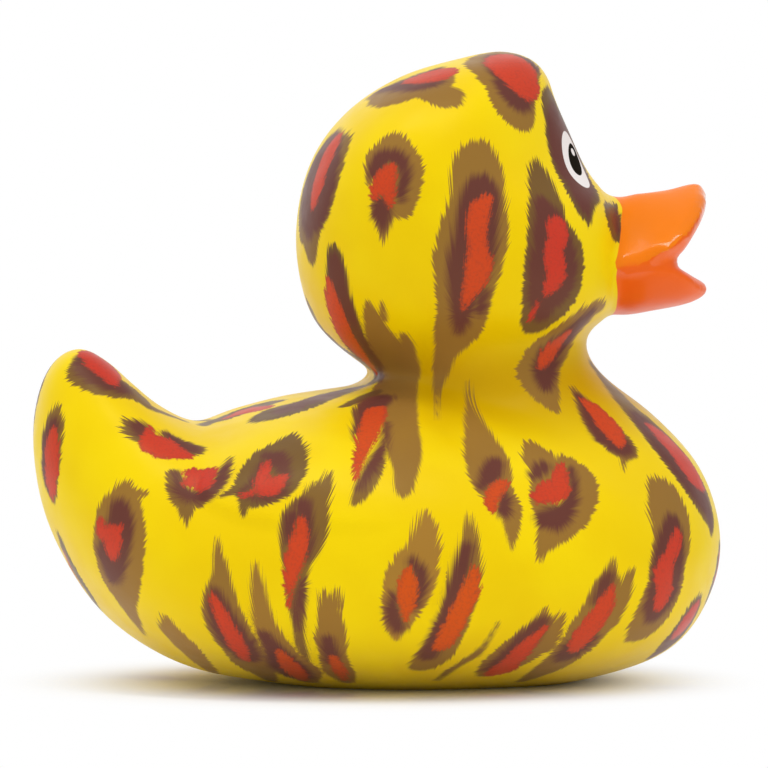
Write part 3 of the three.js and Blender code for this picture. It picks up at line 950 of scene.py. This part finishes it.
class Print:
    """The print on the skin: at each vertex, how far it is outside the nearest field of each kind."""

    def __init__(self, points, normals, tree):
        self.points, self.normals, self.tree = points, normals, tree
        self.fields = {kind: np.full(len(points), FAR) for kind in KINDS}
        self.hair = np.zeros((len(points), 3))
        self.tint = np.zeros((len(points), 3))
        self.near = np.full(len(points), np.inf)
        self.count = 0

    def add(self, mark, lay):
        """Adds one spot, with a call that lays a stroke of it. Returns its laid strokes by kind."""
        strokes = {kind: [lay(s) for s in mark[kind]] for kind in KINDS}
        every = [s for laid in strokes.values() for s in laid]
        places = np.vstack([s[0] for s in every])
        radius = max(s[1].max() for s in every)
        facing = np.mean(np.vstack([s[2] for s in every]), axis=0)
        low, high = places.min(axis=0) - radius - REACH, places.max(axis=0) + radius + REACH
        box = np.all((self.points > low) & (self.points < high), axis=1)
        pick = np.flatnonzero(box & (self.normals @ facing > SAME_SIDE))
        here = self.points[pick]
        gap = np.full(len(pick), np.inf)
        for kind, laid in strokes.items():
            for on_skin, radii, _ in laid:
                away = stroke_distance(here, on_skin, radii)
                self.fields[kind][pick] = np.minimum(self.fields[kind][pick], away)
                gap = np.minimum(gap, away)
        mine = pick[gap < self.near[pick]]
        self.near[pick] = np.minimum(self.near[pick], gap)
        self.count += 1
        self.comb(mine, places, radius, facing, mark)
        return strokes

    def comb(self, mine, places, radius, facing, mark):
        """Stores the hairs and tints of a spot at its own vertices."""
        middle = places.mean(axis=0)
        along = np.linalg.svd(places - middle, full_matrices=False)[2][0]
        along = along * (1 if along[2] > 0 else -1)
        across = np.cross(facing, along)
        across = across / np.linalg.norm(across)
        half_across = np.abs((places - middle) @ across).max() + radius / 2
        half_along = np.abs((places - middle) @ along).max() + radius / 2
        off = self.points[mine] - middle + HAIR_CENTRE * half_along * along
        off = np.stack([off @ across / half_across, off @ along / half_along], axis=1)
        out = np.linalg.norm(off, axis=1, keepdims=True)
        reach = (half_across + half_along) / 2 / HAIR_PITCH
        self.hair[mine, :2] = reach * off / np.maximum(out, HAIR_INNER)
        self.hair[mine, 2] = SPOT_SHIFT * self.count + HAIR_RISE * out[:, 0]
        self.tint[mine, :2] = mark["deep"], mark["warm"]
        self.tint[mine, 2] = np.abs(off[:, 1])


def print_photo_spots(ink):
    for mark in [*HEAD_SPOTS.values(), *BODY_SPOTS.values()]:
        ink.add(mark, lambda stroke: lay_photo_stroke(ink.tree, stroke))


def flow_at(place, normal):
    """The way that the print runs at a point: down, and inward where the belly turns under."""
    way = np.array([
        FLOW_FAN[0] * (FLOW_MIDDLE - place[0]) / FLOW_HALF, -FLOW_FAN[1] * place[1] / FLOW_HALF, -1.0
    ])
    if normal[2] > TOP_FACING:
        way = way + TOP_SWEEP
    way = way - (way @ normal) * normal
    return way / np.linalg.norm(way)


def room_at(places, laid):
    """How far each place is from the print that is there."""
    tree = KDTree(len(laid))
    for k, p in enumerate(laid.tolist()):
        tree.insert(p, k)
    tree.balance()
    return np.array([tree.find(p)[2] for p in places.tolist()])


def print_hidden_sides(ink, bare):
    """Repeats spots where the photograph doesn't show the skin, the widest gap first."""
    marks = {**HEAD_SPOTS, **BODY_SPOTS}
    rng = np.random.default_rng(SEED)
    hidden = (ink.normals @ TOWARDS < HIDDEN_FACING) & (ink.points[:, 2] > PRINT_FLOOR) & ~bare
    pick = np.flatnonzero(hidden)[::PLACE_STRIDE]
    places = ink.points[pick]
    clear = room_at(places, ink.points[ink.fields["outer"] < 0])
    turn = 0
    while clear.max() > WIDE_GAP:
        best = int(np.argmax(np.minimum(clear, GAP_CAP) + rng.uniform(0, GAP_SHUFFLE, len(clear))))
        if clear[best] < LEAST_GAP:
            break
        place, normal = places[best], ink.normals[pick[best]]
        mark = marks[REPEATED_SPOTS[turn % len(REPEATED_SPOTS)]]
        turn += 1
        rows = np.array([r for stroke in mark["outer"] for r in stroke])
        low = (rows[:, :2] - rows[:, 2:]).min(axis=0)
        high = (rows[:, :2] + rows[:, 2:]).max(axis=0)
        half = (high - low) / 2 / PX_PER_MM
        scale = np.clip((clear[best] - SPOT_MARGIN) / half[0], *SPOT_SCALE)
        scale = min(scale, SPOT_LENGTH * clear[best] / half[1])
        along = flow_at(place, normal)
        across = np.cross(normal, along) * rng.choice((-1, 1))
        spread = (low + high) / 2, place, across, along, scale
        strokes = ink.add(mark, lambda stroke: lay_repeat_stroke(ink.tree, stroke, *spread))
        for on_skin, radii, _ in strokes["outer"]:
            clear = np.minimum(clear, stroke_distance(places, on_skin, radii))
        clear[best] = 0


def eye_places(points):
    """Each vertex's place across and up the painted eye of its own side, in mm."""
    normal = np.array(EYE_FACING) / np.linalg.norm(EYE_FACING)
    up = np.array([0.0, 0.0, 1.0]) - normal[2] * normal
    up = up / np.linalg.norm(up)
    forward = np.cross(normal, up)
    forward = forward * np.sign(forward[0])
    off = on_right(points) - EYE_PLACE
    out = np.stack([off @ forward, off @ up, np.zeros(len(points))], axis=1)
    length = np.maximum(np.linalg.norm(out, axis=1, keepdims=True), TINY)
    behind = np.abs(off @ normal)[:, None] > EYE_DEPTH
    return np.where(behind, out * np.maximum(FAR / length, 1), out)


def store(mesh, name, values):
    kind, slot = ("FLOAT_VECTOR", "vector") if values.ndim == 2 else ("FLOAT", "value")
    field = mesh.attributes.new(name, kind, "POINT")
    field.data.foreach_set(slot, values.astype(np.float32).ravel())


def paint_skin(body, body_tree, upper_tree, lower_tree, lip_line):
    """Stores on the skin all that its paint and print are drawn from."""
    points = points_of(body.data)
    front = np.flatnonzero((points[:, 0] > FRONT[0]) & (points[:, 2] > FRONT[1]))
    to_body, to_upper, to_lower = (
        nearest(tree, points[front])[1] for tree in (body_tree, upper_tree, lower_tree)
    )
    bill, lower, lip = np.full(len(points), FAR), np.zeros(len(points)), np.full(len(points), FAR)
    bill[front] = np.minimum(to_upper, to_lower) - to_body + BROW_PAINT * brow_share(points[front])
    lower[front] = to_upper - to_lower
    lip[front] = lip_rise(points[front], lip_line)
    eye = eye_places(points)
    ink = Print(points, normals_of(body.data), tree_of(body))
    print_photo_spots(ink)
    print_hidden_sides(ink, (bill < BARE_BILL) | (np.linalg.norm(eye[:, :2], axis=1) < BARE_EYE))
    fields = {
        **ink.fields, "hair": ink.hair, "tint": ink.tint, "eye": eye,
        # neck holds the share of painted shade under the head, round the neck
        "bill": bill, "lower": lower, "lip": lip, "neck": neck_shade_share(points),
    }
    for name, values in fields.items():
        store(body.data, name, values)


class Graph:
    """The nodes of a material or world, made by short calls. An input is a socket or a constant."""

    def __init__(self, owner):
        owner.use_nodes = True
        self.nodes, self.links = owner.node_tree.nodes, owner.node_tree.links

    def node(self, kind, inputs=(), **settings):
        made = self.nodes.new(kind)
        for key, value in settings.items():
            setattr(made, key, value)
        for key, value in dict(inputs).items():
            self.feed(made.inputs[key], value)
        return made

    def feed(self, socket, value):
        if isinstance(value, bpy.types.NodeSocket):
            self.links.new(value, socket)
        else:
            socket.default_value = value

    def field(self, name, part="Fac"):
        return self.node("ShaderNodeAttribute", attribute_name=name).outputs[part]

    def math(self, operation, first, second):
        return self.node("ShaderNodeMath", {0: first, 1: second}, operation=operation).outputs[0]

    def vector(self, operation, first, second=(0, 0, 0), out=0):
        made = self.node("ShaderNodeVectorMath", {0: first, 1: second}, operation=operation)
        return made.outputs[out]

    def step(self, value, low, high, to_low=0.0, to_high=1.0, kind="SMOOTHSTEP"):
        """A step from one value to another as the input goes from low to high."""
        made = self.node(
            "ShaderNodeMapRange",
            {"Value": value, "From Min": low, "From Max": high, "To Min": to_low, "To Max": to_high},
            interpolation_type=kind,
        )
        return made.outputs["Result"]

    def mix(self, share, first, second):
        """One colour over another, by a share."""
        made = self.node("ShaderNodeMix", data_type="RGBA")
        for socket, value in zip((0, 6, 7), (share, first, second)):
            self.feed(made.inputs[socket], value)
        return made.outputs[2]

    def blend(self, share, first, second):
        """One shader over another, by a share."""
        return self.node("ShaderNodeMixShader", {0: share, 1: first, 2: second}).outputs[0]

    def noise(self, place, scale, detail=2.0, roughness=0.55):
        made = self.node(
            "ShaderNodeTexNoise",
            {"Vector": place, "Scale": scale, "Detail": detail, "Roughness": roughness},
        )
        return made.outputs["Fac"]

    def wave(self, place, scale, detail, roughness):
        """Noise about 0."""
        return self.math("SUBTRACT", self.noise(place, scale, detail, roughness), 0.5)

    def rays(self):
        """Whether a ray comes from the camera, and whether it was mirrored or refracted."""
        path = self.node("ShaderNodeLightPath").outputs
        turned = self.math("MAXIMUM", path["Is Glossy Ray"], path["Is Transmission Ray"])
        return path["Is Camera Ray"], turned


def srgb(red, green, blue):
    """A colour given as 0 to 255 on screen, as the shader takes it."""
    line = lambda v: v / 12.92 if v <= 0.04045 else ((v + 0.055) / 1.055) ** 2.4
    return (line(red / 255), line(green / 255), line(blue / 255), 1)


YELLOW = srgb(248, 216, 4)
# painted shade: the yellow under the head, round the neck
NECK_SHADE_YELLOW = srgb(212, 167, 2)
YELLOW_DEEP = srgb(243, 207, 2)
GOLD_BROWN = srgb(172, 126, 52)
OLIVE_BROWN = srgb(104, 78, 48)
MAROON = srgb(108, 60, 54)
RED = srgb(206, 58, 44)
ORANGE_RED = srgb(214, 84, 28)
BILL_ORANGE = srgb(250, 128, 4)
# painted shade: the darker orange of the bill under its lip
BILL_UNDER_LIP_SHADE = srgb(248, 103, 5)
LOWER_BILL = srgb(246, 102, 26)
EYE_WHITE = srgb(236, 231, 229)
PUPIL_BLACK = srgb(18, 14, 14)

# Noise: scale, detail and roughness
FINE_HAIR = (1.0, 2.0, 0.6)
BROAD_HAIR = (0.35, 1.0, 0.5)
FLECK = (2600.0, 1.0, 0.5)
MOTTLE_SCALE = 60.0
SATIN_SCALE = 300.0
GRAIN_SCALE = 900.0

# How far noise moves the edges of the fields, in mm
BROAD_MOVE = 1.4
DARK_MOVE = 1.2
CORE_MOVE = 0.8

# Steps: the input from and to, and where given the output from and to
HAIR_LENGTH = (0.3, 1.0, 1.7, 3.4)
MOTTLE_EDGE = (0.35, 0.65)
OUTER_EDGE = (0.22, -0.28)
DARK_EDGE = (0.8, -0.8)
CORE_EDGE = (0.25, -0.25)
CORE_SHADE = (-0.8, 0.2, 0.0, 0.35)
FLECK_SHADE = (-0.1, 0.3, 0.0, 0.18)
BILL_EDGE = (0.08, -0.08)
# the painted shade under the bill's lip sets in below the lip
UNDER_LIP_SHADE_EDGE = (0.1, -0.9)
LOWER_EDGE = (-0.6, 0.6)
EYE_EDGE = (1.02, 0.98)
PUPIL_EDGE = (1.03, 0.97)
GLINT_EDGE = (1.1, 0.9)
SATIN = (0.3, 0.7, 0.32, 0.4)
LIP_GLOSS = (2.4, 1.0, 0.1, 1.0)

SPECULAR = 0.2
SPECULAR_TINT = (1.0, 0.85, 0.3, 1)
COAT_ROUGHNESS = 0.1
GRAIN_STRENGTH = 0.06
GRAIN_DEPTH = 0.0002
SHARP_ANGLE = math.radians(50)


def oval(graph, place, middle, half, turn):
    """How far out of an oval the paint is: 1 on its edge."""
    off = graph.vector("SUBTRACT", place, (*middle, 0))
    c, s = math.cos(turn), math.sin(turn)
    across = graph.vector("DOT_PRODUCT", off, (c / half[0], s / half[0], 0), out=1)
    along = graph.vector("DOT_PRODUCT", off, (-s / half[1], c / half[1], 0), out=1)
    both = graph.node("ShaderNodeCombineXYZ", {0: across, 1: along}).outputs[0]
    return graph.vector("LENGTH", both, out=1)


def print_colour(graph, place):
    """The yellow of the vinyl, with painted shade round the neck, and the brown, maroon and red of the
    print on it.
    """
    hair = graph.field("hair", "Vector")
    deep, warm, tip = graph.node("ShaderNodeSeparateXYZ", {0: graph.field("tint", "Vector")}).outputs
    fine = graph.wave(hair, *FINE_HAIR)
    broad = graph.math("MULTIPLY", graph.wave(hair, *BROAD_HAIR), BROAD_MOVE)
    fleck = graph.wave(place, *FLECK)
    shaggy = graph.math("MULTIPLY", fine, graph.step(tip, *HAIR_LENGTH))
    ragged = graph.math("ADD", broad, graph.math("MULTIPLY", fine, DARK_MOVE))
    speckled = graph.math("ADD", broad, graph.math("MULTIPLY", fleck, CORE_MOVE))
    outer = graph.math("ADD", graph.field("outer"), shaggy)
    dark = graph.math("ADD", graph.field("dark"), ragged)
    core = graph.math("ADD", graph.field("core"), speckled)

    colour = graph.mix(graph.step(graph.noise(place, MOTTLE_SCALE), *MOTTLE_EDGE), YELLOW, YELLOW_DEEP)
    # painted shade under the head darkens the yellow round the neck
    colour = graph.mix(graph.field("neck"), colour, NECK_SHADE_YELLOW)
    brown = graph.mix(deep, GOLD_BROWN, OLIVE_BROWN)
    colour = graph.mix(graph.step(outer, *OUTER_EDGE), colour, brown)
    colour = graph.mix(graph.step(dark, *DARK_EDGE), colour, MAROON)
    red = graph.mix(warm, RED, ORANGE_RED)
    red = graph.mix(graph.step(fleck, *FLECK_SHADE), red, MAROON)
    red = graph.mix(graph.step(core, *CORE_SHADE), red, MAROON)
    return graph.mix(graph.step(core, *CORE_EDGE), colour, red)


def vinyl_material():
    """Yellow vinyl with the print, the painted eyes, the painted bill, and painted shade under the bill's
    lip and round the neck.
    """
    material = bpy.data.materials.new("printed_vinyl")
    graph = Graph(material)
    inputs = graph.nodes["Principled BSDF"].inputs
    place = graph.node("ShaderNodeTexCoord").outputs["Object"]
    colour = print_colour(graph, place)

    on_bill = graph.step(graph.field("bill"), *BILL_EDGE)
    lip = graph.field("lip")
    # painted shade: darker orange below the upper bill's lip
    bill = graph.mix(graph.step(lip, *UNDER_LIP_SHADE_EDGE), BILL_ORANGE, BILL_UNDER_LIP_SHADE)
    bill = graph.mix(graph.step(graph.field("lower"), *LOWER_EDGE), bill, LOWER_BILL)
    colour = graph.mix(on_bill, colour, bill)

    eye = graph.field("eye", "Vector")
    on_eye = graph.step(oval(graph, eye, **EYE_OVAL), *EYE_EDGE)
    on_pupil = graph.step(oval(graph, eye, **PUPIL_OVAL), *PUPIL_EDGE)
    on_glint = graph.step(oval(graph, eye, **GLINT_OVAL), *GLINT_EDGE)
    for share, paint in ((on_eye, EYE_WHITE), (on_pupil, PUPIL_BLACK), (on_glint, EYE_WHITE)):
        colour = graph.mix(share, colour, paint)
    graph.feed(inputs["Base Color"], colour)

    satin = graph.step(graph.noise(place, SATIN_SCALE), *SATIN)
    graph.feed(inputs["Roughness"], graph.math("MAXIMUM", satin, on_eye))
    inputs["Specular IOR Level"].default_value = SPECULAR
    inputs["Specular Tint"].default_value = SPECULAR_TINT
    gloss = graph.step(graph.math("ABSOLUTE", lip, 0.0), *LIP_GLOSS)
    graph.feed(inputs["Coat Weight"], graph.math("MULTIPLY", gloss, on_bill))
    inputs["Coat Roughness"].default_value = COAT_ROUGHNESS
    grain = graph.node(
        "ShaderNodeBump",
        {"Height": graph.noise(place, GRAIN_SCALE), "Strength": GRAIN_STRENGTH, "Distance": GRAIN_DEPTH},
    )
    graph.feed(inputs["Normal"], grain.outputs["Normal"])
    return material


skin, trees, lip_line = make_skin()
paint_skin(skin, *trees, lip_line)
skin.data.materials.clear()
skin.data.materials.append(vinyl_material())
skin.data.shade_smooth()
skin.data.set_sharp_from_angle(angle=SHARP_ANGLE)
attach(skin, "root")
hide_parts("duck")


# The studio, in metres: the floor, where its paper turns to plain white, the room's light by height, what
# a mirror shows by depth, and the one lamp
FLOOR_FACETS = 96
FLOOR_RADIUS = 0.3
FLOOR_PAPER = (0.92, 0.92, 0.92, 1)
FLOOR_WHITE = (0.025, 0.055)
ROOM_LIGHT = (-0.2, 0.8, 0.82, 0.94)
ROOM_MIRRORED = (0.45, 0.9, 0.1, 1.0)
KEY = {"place": (-0.08, -0.08, 0.75), "aim": (0, 0, 0.04), "size": (0.7, 0.1), "watts": 1.4}


def add_floor():
    """A paper floor that keeps the shadow by the duck. Seen or mirrored, it is plain white further out."""
    bpy.ops.mesh.primitive_circle_add(vertices=FLOOR_FACETS, radius=FLOOR_RADIUS, fill_type="NGON")
    floor = bpy.context.object
    floor.name = "floor"
    material = bpy.data.materials.new("floor")
    graph = Graph(material)
    graph.nodes.clear()
    place = graph.node("ShaderNodeTexCoord").outputs["Object"]
    fade = graph.step(graph.vector("LENGTH", place, out=1), *FLOOR_WHITE)
    white = graph.math("MULTIPLY", fade, graph.math("MAXIMUM", *graph.rays()))
    paper = graph.node("ShaderNodeBsdfDiffuse", {"Color": FLOOR_PAPER}).outputs[0]
    glow = graph.node("ShaderNodeEmission").outputs[0]
    graph.node("ShaderNodeOutputMaterial", {"Surface": graph.blend(white, paper, glow)})
    floor.data.materials.append(material)


def add_world():
    """Even light from all round. Seen, the room is white. Mirrored, it is dim on the camera's side."""
    world = bpy.data.worlds.new("studio")
    bpy.context.scene.world = world
    graph = Graph(world)
    graph.nodes.clear()
    backdrop = lambda strength: graph.node(
        "ShaderNodeBackground", {"Color": (1, 1, 1, 1), "Strength": strength}
    ).outputs[0]
    place = graph.node("ShaderNodeTexCoord").outputs["Generated"]
    _, depth, height = graph.node("ShaderNodeSeparateXYZ", {0: place}).outputs
    room = backdrop(graph.step(height, *ROOM_LIGHT, kind="LINEAR"))
    mirrored = backdrop(graph.step(depth, *ROOM_MIRRORED, kind="LINEAR"))
    seen, turned = graph.rays()
    shown = graph.blend(seen, graph.blend(turned, room, mirrored), backdrop(1.0))
    graph.node("ShaderNodeOutputWorld", {"Surface": shown})


def hang(name, data, place, way):
    """Adds a lamp or camera at a place, turned to look a way."""
    holder = bpy.data.objects.new(name, data)
    holder.location = place
    holder.rotation_euler = way.to_track_quat("-Z", "Y").to_euler()
    bpy.context.scene.collection.objects.link(holder)
    return holder


def add_softbox(name, place, aim, size, watts):
    lamp = bpy.data.lights.new(name, "AREA")
    lamp.shape = "RECTANGLE"
    lamp.size, lamp.size_y = size
    lamp.energy = watts
    hang(name, lamp, place, Vector(aim) - Vector(place))


def add_camera():
    camera = bpy.data.cameras.new("camera")
    camera.sensor_width = SENSOR
    camera.lens = SENSOR * VIEW_DISTANCE * PX_PER_MM / IMAGE_SIDE
    camera.clip_end = CLIP_END
    bpy.context.scene.camera = hang("camera", camera, Vector(CAMERA_PLACE * MM), Vector(-TOWARDS))


add_floor()
add_world()
add_softbox("key", **KEY)
add_camera()
bpy.context.scene.view_settings.view_transform = "Standard"
